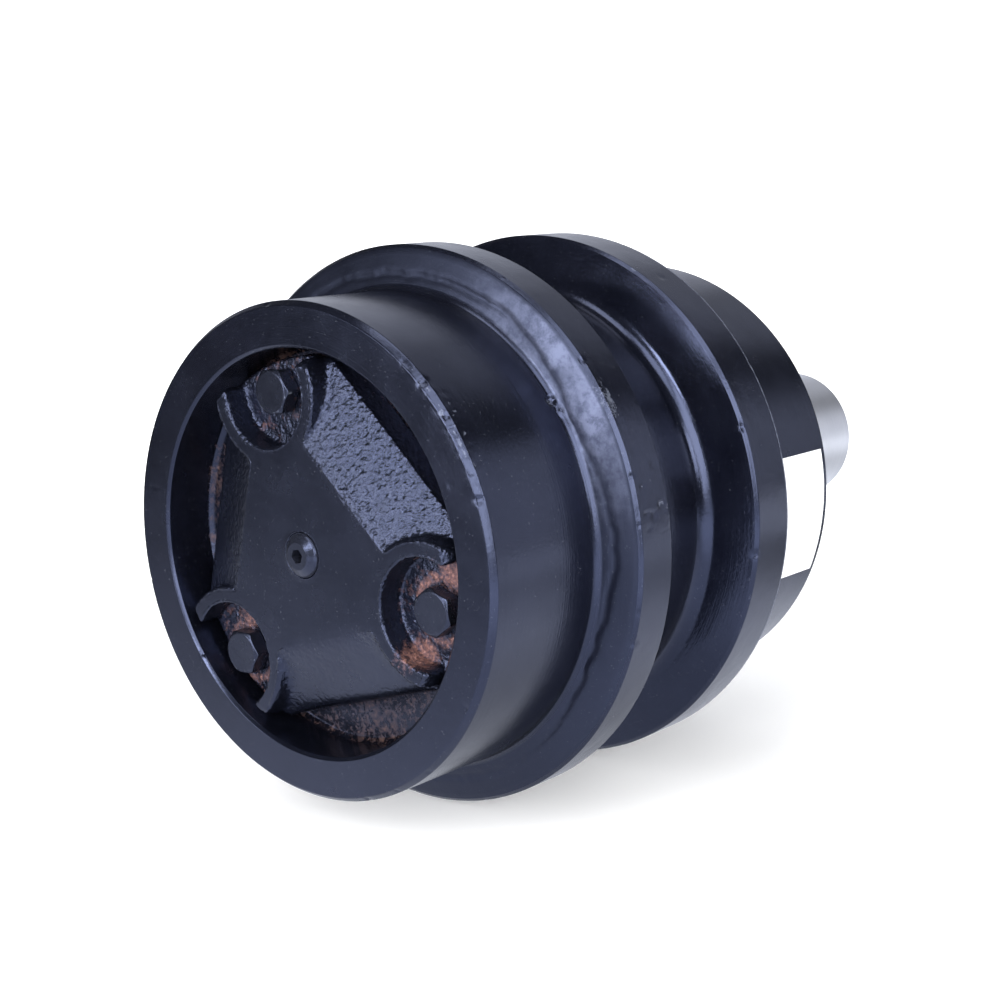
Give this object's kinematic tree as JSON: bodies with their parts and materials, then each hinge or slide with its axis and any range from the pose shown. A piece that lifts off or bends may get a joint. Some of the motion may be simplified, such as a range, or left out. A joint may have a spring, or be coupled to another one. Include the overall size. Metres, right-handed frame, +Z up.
{
  "type": "carrier roller",
  "caption": "Double-flanged track carrier roller turning on an overhung fixed shaft, with a bolted end cover and a face seal behind.",
  "frame": {"origin": "on the roller axis where the shaft stub leaves the collar, at the face that meets the bracket", "axes": "+Y along the roller axis, from the cover end towards the free end of the shaft stub; +Z up; +X to the side"},
  "size_m": [0.1774, 0.2826, 0.1774],
  "materials": {
    "roller_paint": "dark blue-black satin paint over forged steel",
    "cover_paint": "dark blue-black satin paint over rough cast iron",
    "bolt_paint": "dark paint over a hexagon head",
    "plug_paint": "dark paint over a steel plug",
    "copper": "soft copper",
    "seal_rubber": "matt black",
    "bronze": "machined bronze",
    "seal_iron": "lapped cast iron",
    "label_white": "blank white film",
    "ground_steel": "ground steel",
    "plate_steel": "machined steel",
    "collar_paint": "dark blue-black satin paint"
  },
  "bodies": {
    "shaft": {"shaft": "ground_steel", "retaining_plate": "plate_steel", "retaining_plate_washers": "plate_steel", "retaining_plate_bolts": "plate_steel", "seal_collar": "collar_paint", "collar_o_ring": "seal_rubber", "stationary_seal_ring": "seal_iron", "stationary_toric": "seal_rubber"},
    "roller": {"roller_shell": "roller_paint", "end_cover": "cover_paint", "cover_bolts": "bolt_paint", "filler_plug": "plug_paint", "filler_plug_washer": "copper", "cover_o_ring": "seal_rubber", "front_bushing": "bronze", "rear_bushing": "bronze", "front_thrust_washer": "bronze", "rear_thrust_washer": "bronze", "rotating_seal_ring": "seal_iron", "rotating_toric": "seal_rubber", "blank_label": "label_white"}
  },
  "joints": [
    {"name": "roller_spin", "type": "hinge", "parent": "shaft", "child": "roller", "pos_m": [0, -0.09325, 0], "axis": [0, 1, 0], "continuous": true}
  ]
}
